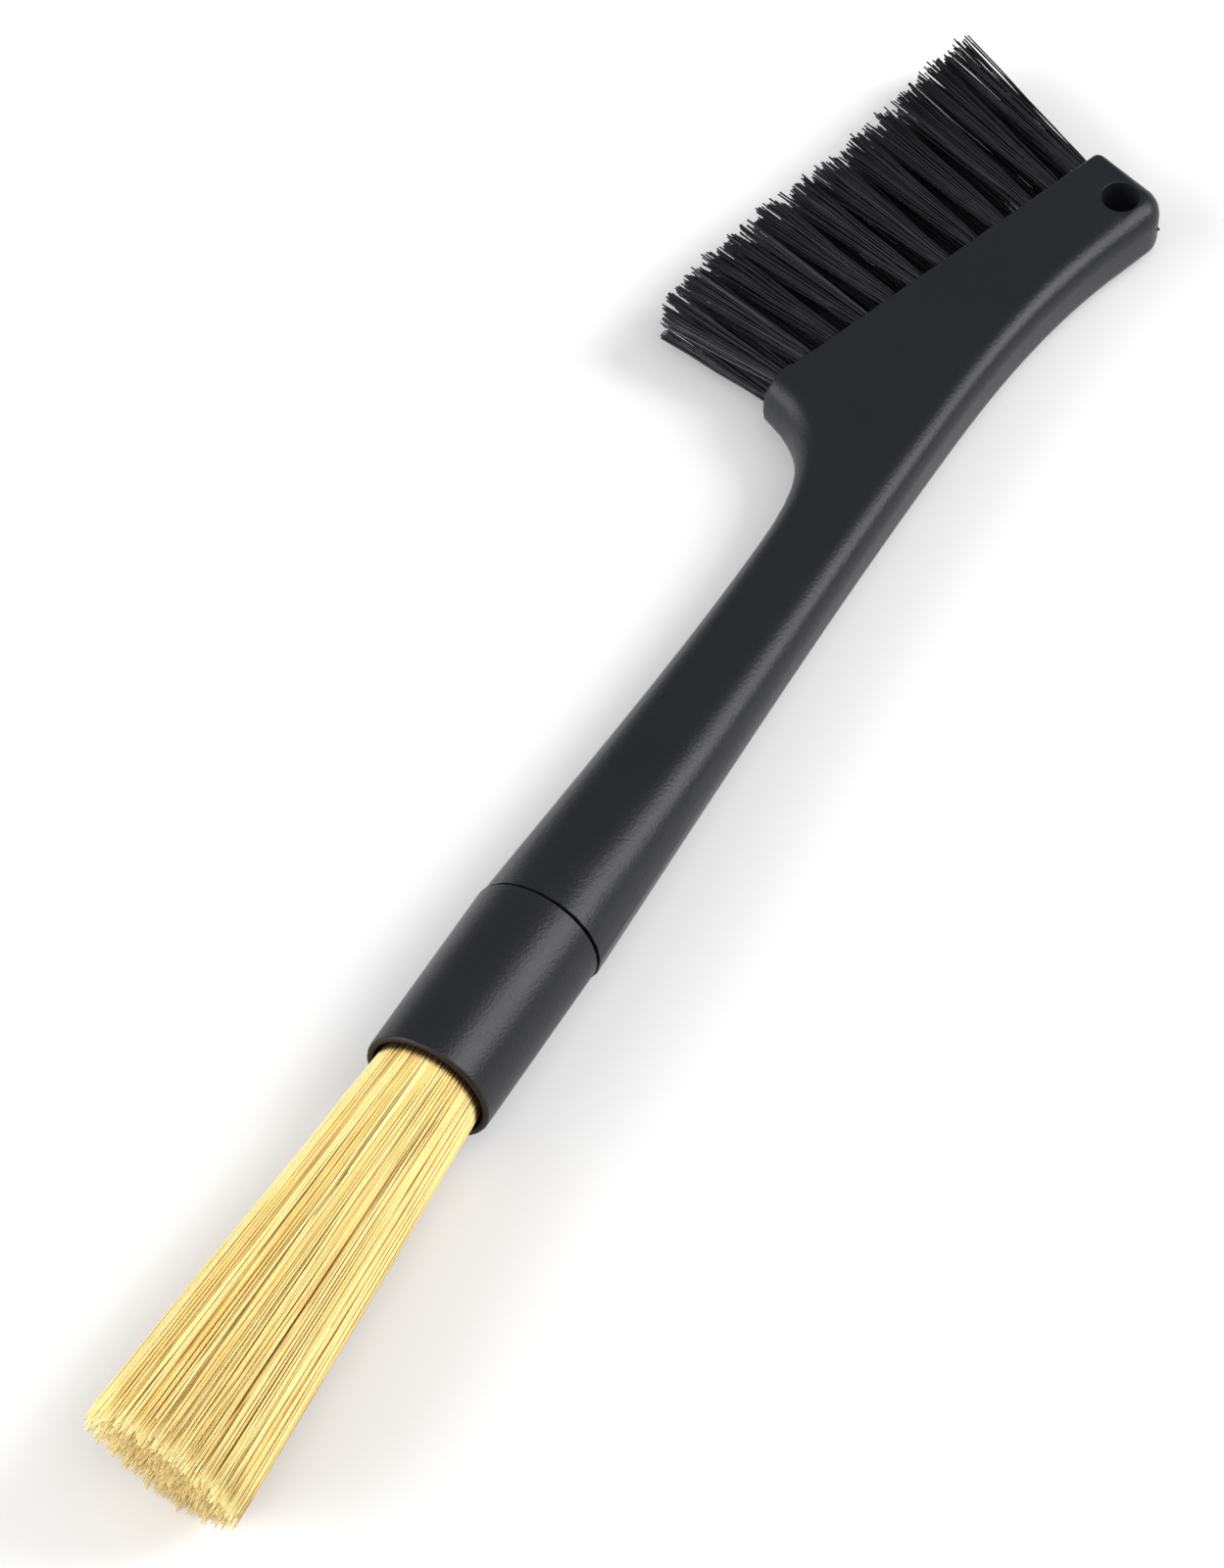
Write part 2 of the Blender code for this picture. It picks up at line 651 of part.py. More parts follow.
def flared_rings(strand, spread, length, bend, bend_flare, lean=0.0):
    """Two further triangles of a strand: at its bend and at its end, pushed out from the middle."""
    u, v, radius, turn = strand
    rings = []
    for share, flare in ((bend / length, bend_flare), (1.0, 1.0)):
        thickness = between(radius, radius * STRAND_TIP_SHARE, share)
        centre_u = u * between(1.0, spread, flare) + lean * flare
        centre_v = v * between(1.0, spread, flare)
        ring = []
        for corner in range(3):
            angle = turn + 2 * math.pi * corner / 3
            ring.append((centre_u + thickness * math.cos(angle),
                         centre_v + thickness * math.sin(angle), length * share))
        rings.append(ring)
    return rings


def make_bundle(look, parent):
    """The round bundle: strands spread over a backing slice in a sunflower's pattern."""
    chance = np.random.default_rng(7)
    golden_turn = math.pi * (3 - math.sqrt(5))
    edge_room = 1.5 * BRISTLE_RADIUS
    field_radius = SPIGOT_RADIUS - edge_room
    spread = (BUNDLE_TIP_RADIUS - BRISTLE_RADIUS) / field_radius
    strands = []
    for number in range(BRISTLE_COUNT):
        out = field_radius * math.sqrt((number + 0.5) / BRISTLE_COUNT)
        turn = number * golden_turn
        strands.append((out * math.cos(turn), out * math.sin(turn), BRISTLE_RADIUS,
                        chance.uniform(0, 2 * math.pi)))
    uneven = chance.uniform(-1, 1, BRISTLE_COUNT) * BRISTLE_UNEVENNESS
    bend = BACKING_FRONT - MOUTH
    reach = bend + BUNDLE_REACH

    def rings_of(number, strand):
        side_share = strand[0] / field_radius
        top_share = strand[1] / field_radius
        length = reach + BUNDLE_LONG_TOP * top_share + BUNDLE_LONG_SPINE_SIDE * side_share
        return flared_rings(strand, spread, length + uneven[number], bend, 0.0, BUNDLE_LEAN)

    def place(u, v, w):
        return (BACKING_FRONT - w, -u, v)

    border = regular_section(SPIGOT_RADIUS, BACKING_SIDES)
    points, faces = strand_field(border, strands, rings_of, place)
    back = len(points)
    points += [place(u, v, -BACKING_THICKNESS) for u, v in border]
    for side in range(BACKING_SIDES):
        after = (side + 1) % BACKING_SIDES
        faces.append([back + side, back + after, after, side])
    faces.append([back + side for side in reversed(range(BACKING_SIDES))])
    mesh = mesh_from("natural_bristles", points, faces)
    return add_object("natural_bristles", mesh, look, parent)


# Tufts and anchors

def root_with_window(points, faces, frame, height, border):
    """The root below the face, with a window through it for the anchor."""
    base, out, across = frame
    back = len(points)
    points += [in_tuft(base, out, across, height, u, v, -TUFT_ROOT_DEPTH) for u, v in border]
    corners = []
    upper = -ANCHOR_DEPTH + ANCHOR_WINDOW_HEIGHT / 2
    lower = -ANCHOR_DEPTH - ANCHOR_WINDOW_HEIGHT / 2
    half = ANCHOR_WINDOW_WIDTH / 2
    flat_to_middle = TUFT_ROOT_RADIUS * math.cos(math.pi / ROOT_SIDES)
    for side_sign in (1, -1):
        u = side_sign * flat_to_middle
        ring = [(u, -side_sign * half, lower), (u, side_sign * half, lower),
                (u, side_sign * half, upper), (u, -side_sign * half, upper)]
        corners.append(list(range(len(points), len(points) + 4)))
        points += [in_tuft(base, out, across, height, *corner) for corner in ring]
    windows = {ROOT_SIDES - 1: corners[0], ROOT_SIDES // 2 - 1: corners[1]}
    for side in range(ROOT_SIDES):
        after = (side + 1) % ROOT_SIDES
        wall = [back + side, back + after, after, side]
        if side not in windows:
            faces.append(wall)
            continue
        window = windows[side]
        for corner in range(4):
            following = (corner + 1) % 4
            faces.append([wall[corner], wall[following], window[following], window[corner]])
    right, left = corners
    mirrored = [left[1], left[0], left[3], left[2]]
    for corner in range(4):
        following = (corner + 1) % 4
        faces.append([right[corner], right[following], mirrored[following], mirrored[corner]])
    faces.append([back + side for side in reversed(range(ROOT_SIDES))])


def make_tuft(row, index, height, look, parent):
    """One tuft: a folded root in its hole and filaments that spread towards their ends."""
    chance = np.random.default_rng(100 * (index + 1) + (0 if row == "upper" else 1))
    frame = tuft_frame(index)
    base, out, across = frame
    share = index / (TUFTS_IN_ROW - 1)
    length = between(TUFT_LENGTH_HEEL, TUFT_LENGTH_TIP, share)
    ring_radius = TUFT_ROOT_RADIUS * FILAMENT_RING_SHARE
    end_radius = ROW_HEIGHT - FIT_GAP / 2 - FILAMENT_RADIUS
    spread = end_radius / ring_radius
    strands = [(0.0, 0.0, FILAMENT_RADIUS, chance.uniform(0, 2 * math.pi))]
    for number in range(FILAMENTS_AROUND):
        turn = 2 * math.pi * (number + 0.5) / FILAMENTS_AROUND
        strands.append((ring_radius * math.cos(turn), ring_radius * math.sin(turn), FILAMENT_RADIUS,
                        chance.uniform(0, 2 * math.pi)))
    uneven = chance.uniform(-1, 1, len(strands)) * FILAMENT_UNEVENNESS

    def rings_of(number, strand):
        full = length + uneven[number]
        return flared_rings(strand, spread, full, full * FILAMENT_BEND_SHARE, FILAMENT_FLARE_SHARE)

    def place(u, v, w):
        return in_tuft(base, out, across, height, u, v, w)

    border = regular_section(TUFT_ROOT_RADIUS, ROOT_SIDES)
    points, faces = strand_field(border, strands, rings_of, place)
    root_with_window(points, faces, frame, height, border)
    name = f"tuft_{row}_{index + 1:02d}"
    mesh = mesh_from(name, points, faces)
    return add_object(name, mesh, look, parent)


def make_anchor(row, index, height, look, parent):
    """The flat metal anchor that holds a folded tuft down, its ends in the plastic."""
    section = rectangle(ANCHOR_LENGTH, ANCHOR_THICKNESS)
    frame = tuft_frame(index)
    points = prism_points(frame, height, section, -ANCHOR_DEPTH - ANCHOR_HEIGHT / 2,
                          -ANCHOR_DEPTH + ANCHOR_HEIGHT / 2)
    name = f"anchor_{row}_{index + 1:02d}"
    mesh = mesh_from(name, points, prism_faces(0, len(section)))
    return add_object(name, mesh, look, parent)


# The pose on the table

def lay_down(frame):
    """Tip the brush so that bundle and head both touch the table, centred over the origin."""
    span = HANDLE_LENGTH + COLLAR_LENGTH + BUNDLE_REACH
    tip_angle = math.atan2(BUNDLE_TIP_RADIUS - HEAD_HALF, span)
    frame.rotation_euler = Euler((0.0, tip_angle, 0.0))
    bpy.context.view_layer.update()
    corners = []
    for piece in frame.children:
        corners += [piece.matrix_world @ vertex.co for vertex in piece.data.vertices]
    low = [min(corner[axis] for corner in corners) for axis in range(3)]
    high = [max(corner[axis] for corner in corners) for axis in range(3)]
    frame.location = (-(low[0] + high[0]) / 2, -(low[1] + high[1]) / 2, -low[2])
    bpy.context.view_layer.update()


def main():
    clear_scene()
    frame = bpy.data.objects.new("brush_frame", None)
    bpy.context.scene.collection.objects.link(frame)
    black_plastic = material("black_plastic", (0.018, 0.018, 0.020), 0.38)
    collar_plastic = material("collar_plastic", (0.022, 0.022, 0.026), 0.42)
    resin = material("resin", (0.30, 0.20, 0.08), 0.30)
    bristle = material("natural_bristle", (0.82, 0.60, 0.26), 0.55)
    nylon = material("black_nylon", (0.012, 0.012, 0.013), 0.35)
    steel = material("anchor_steel", (0.62, 0.61, 0.58), 0.30, 1.0)
    make_handle(black_plastic, frame)
    make_collar(collar_plastic, frame)
    make_resin(resin, frame)
    make_bundle(bristle, frame)
    for row, index, height in tuft_places():
        make_tuft(row, index, height, nylon, frame)
        make_anchor(row, index, height, steel, frame)
    lay_down(frame)


main()
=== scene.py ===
# Coffee machine brush: looks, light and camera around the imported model.
# Sizes in the dictionaries are millimetres and degrees, noise and cell scales are per metre,
# and everything in Blender is in metres.
import math

import bpy
import numpy as np
from mathutils import Matrix, Vector


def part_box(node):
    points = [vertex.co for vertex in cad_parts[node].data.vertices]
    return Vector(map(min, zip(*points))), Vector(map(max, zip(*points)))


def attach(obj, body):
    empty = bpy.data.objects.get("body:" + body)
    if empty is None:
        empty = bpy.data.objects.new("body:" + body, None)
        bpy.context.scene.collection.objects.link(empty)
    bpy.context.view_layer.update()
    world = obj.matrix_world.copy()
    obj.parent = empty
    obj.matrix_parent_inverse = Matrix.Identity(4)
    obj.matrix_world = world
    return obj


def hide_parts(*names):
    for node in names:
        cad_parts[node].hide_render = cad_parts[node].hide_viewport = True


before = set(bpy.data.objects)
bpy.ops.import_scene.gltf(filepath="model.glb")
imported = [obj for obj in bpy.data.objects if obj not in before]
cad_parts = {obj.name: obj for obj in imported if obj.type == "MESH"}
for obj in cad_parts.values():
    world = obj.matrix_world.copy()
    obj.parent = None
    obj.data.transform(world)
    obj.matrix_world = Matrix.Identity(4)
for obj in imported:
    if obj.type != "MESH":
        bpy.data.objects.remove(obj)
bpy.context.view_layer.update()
mm = 0.001
body = "root"  # nothing on the brush moves
print("frame loaded,", len(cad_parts), "nodes")


# Shader graphs

class Signal:
    # a socket on its way through a material; Python's operators add Math nodes
    def __init__(self, finish, socket):
        self.finish = finish
        self.socket = socket

    def calculate(self, operation, first, second, clamp=False):
        return self.finish.add("ShaderNodeMath", {"operation": operation, "use_clamp": clamp},
                               {0: first, 1: second})

    def __add__(self, other):
        return self.calculate("ADD", self, other)

    __radd__ = __add__

    def __sub__(self, other):
        return self.calculate("SUBTRACT", self, other)

    def __rsub__(self, other):
        return self.calculate("SUBTRACT", other, self)

    def __mul__(self, other):
        return self.calculate("MULTIPLY", self, other)

    __rmul__ = __mul__

    def __truediv__(self, other):
        return self.calculate("DIVIDE", self, other)

    def __rtruediv__(self, other):
        return self.calculate("DIVIDE", other, self)

    def __gt__(self, other):
        return self.calculate("GREATER_THAN", self, other)

    def __lt__(self, other):
        return self.calculate("LESS_THAN", self, other)

    def limited(self):
        return self.calculate("ADD", self, 0.0, clamp=True)


class Finish:
    # one material: its graph and the one method that adds nodes to it
    def __init__(self, name, constants=None):
        self.material = bpy.data.materials.new(name)
        self.material.use_nodes = True
        self.tree = self.material.node_tree
        self.shader = self.tree.nodes["Principled BSDF"]
        self.feed(constants or {})

    def add(self, kind, settings=None, sockets=None, output=0):
        node = self.tree.nodes.new(kind)
        for key, value in (settings or {}).items():
            if key == "stops":
                self.setStops(node.color_ramp.elements, value)
            else:
                setattr(node, key, value)
        for key, value in (sockets or {}).items():
            self.plug(node.inputs[key], value)
        return Signal(self, node.outputs[output])

    def setStops(self, elements, stops):
        while len(elements) < len(stops):
            elements.new(1.0)
        for element, (position, colour) in zip(elements, stops):
            element.position = position
            element.color = (*colour, 1.0)

    def plug(self, target, value):
        if isinstance(value, Signal):
            self.tree.links.new(value.socket, target)
        elif target.type == "RGBA" and len(value) == 3:
            target.default_value = (*value, 1.0)
        else:
            target.default_value = value

    def feed(self, sockets):
        for key, value in sockets.items():
            self.plug(self.shader.inputs[key], value)

    def blended(self, share, first, second):
        # in a Mix node of colours, inputs 6 and 7 and output 2 are the coloured ones
        return self.add("ShaderNodeMix", {"data_type": "RGBA"}, {0: share, 6: first, 7: second}, 2)

    def place(self):
        return self.add("ShaderNodeTexCoord", output="Object")

    def noise(self, place, scale, detail=2.0):
        return self.add("ShaderNodeTexNoise", None,
                        {"Vector": place, "Scale": scale, "Detail": detail})

    def streaks(self, scales):
        # noise with its own scale along each axis
        stretched = self.add("ShaderNodeVectorMath", {"operation": "MULTIPLY"},
                             {0: self.place(), 1: scales})
        return self.noise(stretched, 1.0)

    def outOfMouth(self, start, axis):
        # millimetres in front of the collar's mouth
        offset = self.add("ShaderNodeVectorMath", {"operation": "SUBTRACT"},
                          {0: self.place(), 1: start})
        return self.add("ShaderNodeVectorMath", {"operation": "DOT_PRODUCT"},
                        {0: offset, 1: axis}, "Value") / mm

    def attribute(self, name):
        return self.add("ShaderNodeAttribute", {"attribute_name": name}, output="Fac")

    def bump(self, height, depth):
        return self.add("ShaderNodeBump", None, {"Distance": depth * mm, "Height": height})


# The brush's own axes: X from the seam to the head, Y to the comb, Z through the thickness

layout = {
    "tilt": 1.5085,  # how far the brush is tipped, lying on its bristles and its head
    "collarLength": 31.6,
    "seamGap": 0.3,
}


def brushMatrix():
    turn = Matrix.Rotation(math.radians(layout["tilt"]), 4, "Y")
    low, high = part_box("collar")
    collarMiddle = Vector((-(layout["collarLength"] + layout["seamGap"] / 2) / 2 * mm, 0, 0))
    return Matrix.Translation((low + high) / 2 - turn @ collarMiddle) @ turn


toWorld = brushMatrix()


def mouthPlane(piece=None):
    # a point in the collar's mouth and the way out of it, in the piece's own coordinates
    turn = (piece.matrix_world.inverted() if piece else Matrix()) @ toWorld
    start = turn @ Vector((-layout["collarLength"] * mm, 0, 0))
    return start, (turn.to_3x3() @ Vector((-1, 0, 0))).normalized()


# Camera, lights and floor

view = {
    "focalPixels": 7000.0,
    "longSide": 1600.0,  # of the image, in pixels
    "sensor": 36.0,
    "down": 55.21,  # how steeply the camera looks down
    "heading": 29.94,  # and which way, from +X towards +Y
    "fromSeam": (-474.1, -285.6, 834.4),  # its place, from the middle of the seam
}

studio = {
    "boxes": [  # heading from +X towards +Y, height as an angle above the floor, power in watts
        {"name": "rightBox", "heading": -54.0, "height": 36.0, "distance": 1200.0,
         "size": (560.0, 860.0), "power": 13.7},
        {"name": "leftBox", "heading": 133.0, "height": 27.0, "distance": 1300.0,
         "size": (1500.0, 900.0), "power": 22.0},
        {"name": "fillBox", "heading": 232.0, "height": 62.0, "distance": 1500.0,
         "size": (1600.0, 1600.0), "power": 12.3},
    ],
    "backdrop": (1.0, 1.0, 1.0),
    "ambient": 0.20,
    "floorSize": 6000.0,
    "floorColour": (0.78, 0.78, 0.784),
    "floorRoughness": 0.7,
}


def direction(heading, height):
    around, up = math.radians(heading), math.radians(height)
    return Vector((math.cos(up) * math.cos(around), math.cos(up) * math.sin(around),
                   math.sin(up)))


def addObject(name, data):
    thing = bpy.data.objects.new(name, data)
    bpy.context.scene.collection.objects.link(thing)
    return thing


def makeCamera():
    lens = bpy.data.cameras.new("camera")
    lens.sensor_width = view["sensor"]
    lens.lens = view["focalPixels"] / view["longSide"] * view["sensor"]
    camera = addObject("camera", lens)
    camera.location = toWorld.translation + Vector(view["fromSeam"]) * mm
    forward = direction(view["heading"], -view["down"])
    camera.rotation_euler = forward.to_track_quat("-Z", "Y").to_euler()
    bpy.context.scene.camera = camera


def makeLights():
    for box in studio["boxes"]:
        lamp = bpy.data.lights.new(box["name"], "AREA")
        lamp.shape = "RECTANGLE"
        lamp.size, lamp.size_y = (side * mm for side in box["size"])
        lamp.energy = box["power"]
        light = addObject(box["name"], lamp)
        away = direction(box["heading"], box["height"])
        light.location = away * box["distance"] * mm
        light.rotation_euler = away.to_track_quat("Z", "Y").to_euler()
    world = bpy.data.worlds.new("studio")
    world.use_nodes = True
    backdrop = world.node_tree.nodes["Background"]
    backdrop.inputs["Color"].default_value = (*studio["backdrop"], 1.0)
    backdrop.inputs["Strength"].default_value = studio["ambient"]
    bpy.context.scene.world = world
    bpy.context.scene.view_settings.view_transform = "Standard"


def makeFloor():
    half = studio["floorSize"] / 2 * mm
    mesh = bpy.data.meshes.new("floor")
    mesh.from_pydata([(-half, -half, 0), (half, -half, 0), (half, half, 0), (-half, half, 0)],
                     [], [(0, 1, 2, 3)])
    floor = addObject("floor", mesh)
    finish = Finish("floorWhite", {"Roughness": studio["floorRoughness"],
                                   "Base Color": studio["floorColour"]})
    mesh.materials.append(finish.material)


makeCamera()
makeLights()
makeFloor()
print("camera, lights and floor made")


# Moulded plastic of the handle and the collar

handlePlastic = {
    "colour": (0.0101, 0.0106, 0.0132),
    "worn": (0.0129, 0.0134, 0.0160),  # in soft clouds over the first colour
    "specular": 0.235,
    "roughness": 0.36,
    "roughnessSpread": 0.10,
    "cloudScale": 55.0,
    "cloudDetail": 3.0,
    "grainScale": 2000.0,
    "grainDetail": 1.0,
    "grainDepth": 0.045,  # of the mould's fine texture
    "speckScale": 130.0,
    "speckRadius": 0.045,  # of a cell
    "speckShare": 0.94,  # cells whose random value is above this carry a speck
    "speckColour": (0.16, 0.16, 0.16),
}

collarPlastic = dict(handlePlastic, colour=(0.0114, 0.0118, 0.0148), roughness=0.38,
                     cloudScale=80.0)

# painted reflection: the collar's rim takes the bristles' brown, standing for their light bounced
# onto it; the rim is also rougher
paintedRimReflection = {
    "colour": (0.018, 0.011, 0.003),
    "reach": (0.34, 0.08),  # how far behind the mouth the painted brown reflection on the rim begins and is full
    "roughness": 0.22,  # added to the collar's
}

shading = {
    "weldDistance": 0.001,
    "sharpAngle": 38.0,  # edges sharper than this stay crisp
}


def plasticFinish(name, look, rim=None):
    finish = Finish(name, {"Specular IOR Level": look["specular"]})
    place = finish.place()
    cloud = finish.noise(place, look["cloudScale"], look["cloudDetail"])
    grain = finish.noise(place, look["grainScale"], look["grainDetail"])
    cells = {"Vector": place, "Scale": look["speckScale"]}
    distance = finish.add("ShaderNodeTexVoronoi", {"feature": "F1"}, cells, "Distance")
    chance = finish.add("ShaderNodeTexVoronoi", {"feature": "F1"}, cells, "Color")
    speck = (distance < look["speckRadius"]) * (chance > look["speckShare"])
    colour = finish.blended(cloud, look["colour"], look["worn"])
    colour = finish.blended(speck, colour, look["speckColour"])
    roughness = (cloud - 0.5) * look["roughnessSpread"] + look["roughness"]
    # painted reflection of the bristles on the rim, and a rougher rim
    if rim:
        begin, full = rim["reach"]
        out = finish.outOfMouth(*mouthPlane(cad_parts["collar"]))
        share = ((out + begin) / (begin - full)).limited()
        colour = finish.blended(share, colour, rim["colour"])
        roughness = roughness + share * rim["roughness"]
    finish.feed({
        "Base Color": colour,
        "Roughness": roughness,
        "Normal": finish.bump(grain, look["grainDepth"]),
    })
    return finish.material


def dress(node, material):
    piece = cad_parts[node]
    for slot in piece.material_slots:
        slot.material = material
    return piece


def smoothRound(piece):
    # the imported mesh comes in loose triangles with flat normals; its shape stays as it is
    flat = piece.data.attributes.get("custom_normal")
    if flat:
        piece.data.attributes.remove(flat)
    piece.data.shade_smooth()
    weld = piece.modifiers.new("weld", "WELD")
    weld.merge_threshold = shading["weldDistance"] * mm
    split = piece.modifiers.new("sharpEdges", "EDGE_SPLIT")
    split.split_angle = math.radians(shading["sharpAngle"])
    split.use_edge_sharp = False
    piece.modifiers.new("evenShading", "WEIGHTED_NORMAL")


smoothRound(dress("handle", plasticFinish("handlePlastic", handlePlastic)))
smoothRound(dress("collar", plasticFinish("collarPlastic", collarPlastic, paintedRimReflection)))
print("handle and collar dressed")


# Resin and anchors, inside the brush

resin = {
    "clear": (0.42, 0.27, 0.10),
    "cloudy": (0.24, 0.14, 0.05),
    "roughness": 0.28,
    "roughnessSpread": 0.2,
    "cloudScale": 240.0,
    "cloudDetail": 3.0,
    "bubbleDepth": 0.05,
}

anchorSteel = {
    "bright": (0.66, 0.65, 0.62),
    "dull": (0.44, 0.43, 0.41),
    "roughness": 0.30,
    "roughnessSpread": 0.2,
    "lineScales": (3000.0, 3000.0, 260.0),
    "lineDepth": 0.008,
}


def resinFinish(look):
    finish = Finish("pottingResin")
    cloud = finish.noise(finish.place(), look["cloudScale"], look["cloudDetail"])
    finish.feed({
        "Base Color": finish.blended(cloud, look["clear"], look["cloudy"]),
        "Roughness": cloud * look["roughnessSpread"] + look["roughness"],
        "Normal": finish.bump(cloud, look["bubbleDepth"]),
    })
    return finish.material


def steelFinish(look):
    finish = Finish("anchorSteel", {"Metallic": 1.0})
    lines = finish.streaks(look["lineScales"])
    finish.feed({
        "Base Color": finish.blended(lines, look["bright"], look["dull"]),
        "Roughness": lines * look["roughnessSpread"] + look["roughness"],
        "Normal": finish.bump(lines, look["lineDepth"]),
    })
    return finish.material


dress("potting_resin", resinFinish(resin))
steel = steelFinish(anchorSteel)
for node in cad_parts:
    if node.startswith("anchor_"):
        dress(node, steel)
print("resin and anchors dressed")


# Strands: tubes along many paths in one mesh, each strand with its own tone

steepRun = 0.8  # strands that run steeper than this turn their rings by Y instead of Z


def tubeMesh(name, paths, radii, tones, sides):
    # paths (strands, rings, 3) and radii (strands, rings), in metres and in the brush's axes
    strands, rings = radii.shape
    runs = np.gradient(paths, axis=1)
    runs /= np.linalg.norm(runs, axis=2, keepdims=True)
    steep = np.abs(runs[:, :1, 2:]) > steepRun
    first = np.cross(runs, np.where(steep, (0.0, 1.0, 0.0), (0.0, 0.0, 1.0)))
    first /= np.linalg.norm(first, axis=2, keepdims=True)
    second = np.cross(runs, first)
    turns = (2 * math.pi * np.arange(sides) / sides)[:, None]
    circle = first[:, :, None] * np.cos(turns) + second[:, :, None] * np.sin(turns)
    points = (paths[:, :, None] + circle * radii[:, :, None, None]).reshape(-1, 3)
    points = points @ np.array(toWorld.to_3x3()).T + np.array(toWorld.translation)
    index = np.arange(strands * rings * sides).reshape(strands, rings, sides)
    after = np.roll(index, -1, axis=2)
    walls = np.stack([index[:, :-1], index[:, 1:], after[:, 1:], after[:, :-1]], axis=-1)
    faces = walls.reshape(-1, 4).tolist() + index[:, 0].tolist() + index[:, -1, ::-1].tolist()
    mesh = bpy.data.meshes.new(name)
    mesh.from_pydata(points.tolist(), [], faces)
    steps = np.linalg.norm(np.diff(paths, axis=1), axis=2).cumsum(axis=1)
    along = np.pad(steps, ((0, 0), (1, 0))) / steps[:, -1:]
    addAttribute(mesh, "along", np.repeat(along.reshape(-1), sides))
    addAttribute(mesh, "tone", np.repeat(tones, rings * sides))
    mesh.shade_smooth()
    return mesh


def addAttribute(mesh, name, values):
    attribute = mesh.attributes.new(name, "FLOAT", "POINT")
    attribute.data.foreach_set("value", values.astype(np.float32))


def addPiece(name, mesh, material, node):
    mesh.materials.append(material)
    piece = addObject(name, mesh)
    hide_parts(node)
    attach(piece, body)


# Natural bristles of the round bundle

bundle = {
    "count": 3200,
    "radius": 0.155,
    "thickness": (0.85, 1.15),  # thinnest and thickest bristle, times the radius
    "tipShare": 0.5,  # thickness at the very end
    "taper": 7.0,  # length of the thinner end
    "sides": 4,
    "start": -21.4,  # along the brush, inside the collar
    "bend": -31.2,  # just inside the mouth
    "reach": 73.0,
    "rings": (0.0, 0.12, 0.34, 0.58, 0.80, 0.92, 1.0),  # shares of the reach
    "fieldRadius": 8.45,  # of the bundle inside the collar
    "rootJitter": 0.05,
    "tipRadius": 12.9,  # of the bundle at its end
    "lean": 0.9,  # of the end, towards the spine
    "longTop": 2.9,  # how much longer the topmost bristles are than the middle ones
    "longSpine": 1.2,  # and the ones on the spine's side
    "uneven": 1.3,
    "shortShare": 0.25,  # bristles that end early, by up to this much
    "short": 3.0,
    "inside": (0.62, 0.90),  # share of the radius where the inner bristles, darker as painted shade, turn to outer ones
    "below": (-0.60, 0.05),  # and the height where the lower ones, darker as painted shade, do
    "darkest": 0.15,  # share of their tone that the bristles in painted shade keep
    "wander": 0.28,  # how far a tip drifts from its straight course
    "strayShare": 0.08,  # bristles that drift further
    "strayWander": 1.4,
    "clumps": 95,
    "clumpJitter": 0.4,
    "clumpPull": 0.30,  # how much the bristles close up in their clump
    "wave": 0.07,  # sideways, between root and tip
    "floorRoom": 0.05,  # kept between the bristles and the surface below
    "seed": 11,
}

bristleLook = {
    "stops": [(0.0, (0.46, 0.29, 0.075)), (0.2, (0.74, 0.51, 0.155)),
              (0.5, (0.88, 0.67, 0.245)), (1.0, (0.96, 0.82, 0.40))],  # darkest to lightest
    "tip": (0.95, 0.84, 0.42),
    "tipStart": 0.965,  # share of the length where the tip's colour begins
    "tipLeast": 0.34,  # share of the tip's colour that the darkest bristles take
    "streakScales": (160.0, 900.0, 900.0),
    "streakAmount": 0.5,  # how much a bristle's tone changes along it
    "specular": 0.4,
    "roughness": 0.42,
    "roughnessSpread": 0.15,
    "paintedMouthShade": (0.05, 0.022, 0.001),  # painted shade on the bristles just out of the collar's mouth
    "gapReach": 1.08,  # how far out of the mouth that shade begins
    "gapFade": 1.05,  # and over what length it grows to full
    "gapRoughness": 0.4,  # added in the shade
}


def spreadOut(count, radius):
    # a sunflower's even spread over a disc
    number = np.arange(count) + 0.5
    out = radius * np.sqrt(number / count)
    turn = number * math.pi * (3 - math.sqrt(5))
    return np.stack([out * np.cos(turn), out * np.sin(turn)], axis=1)


def shareBetween(values, low, high):
    return np.clip((values - low) / (high - low), 0, 1)


def bristleRoots(chance):
    # where the bristles come together, and the same points drawn towards their clumps
    field = bundle["fieldRadius"]
    roots = spreadOut(bundle["count"], field)
    roots += chance.normal(0, bundle["rootJitter"], roots.shape)
    roots *= np.minimum(1, field / np.linalg.norm(roots, axis=1))[:, None]
    centres = spreadOut(bundle["clumps"], field)
    centres += chance.normal(0, bundle["clumpJitter"], centres.shape)
    nearest = np.argmin(np.linalg.norm(roots[:, None] - centres[None], axis=2), axis=1)
    return roots, roots + (centres[nearest] - roots) * bundle["clumpPull"]


def bristleTips(chance, pulled):
    stray = chance.random(bundle["count"]) < bundle["strayShare"]
    wander = np.where(stray, bundle["strayWander"], bundle["wander"])
    tips = pulled * bundle["tipRadius"] / bundle["fieldRadius"]
    tips += chance.normal(0, 1, tips.shape) * wander[:, None]
    tips *= np.minimum(1, bundle["tipRadius"] / np.linalg.norm(tips, axis=1))[:, None]
    tips[:, 0] -= bundle["lean"]
    return tips


def bristleReach(chance, roots):
    # the trimmed end is slanted and a little uneven
    count = bundle["count"]
    slant = bundle["longTop"] * roots[:, 1] - bundle["longSpine"] * roots[:, 0]
    reach = bundle["reach"] + slant / bundle["fieldRadius"]
    reach += chance.uniform(-1, 1, count) * bundle["uneven"]
    early = chance.random(count) < bundle["shortShare"]
    return reach - early * chance.random(count) * bundle["short"]


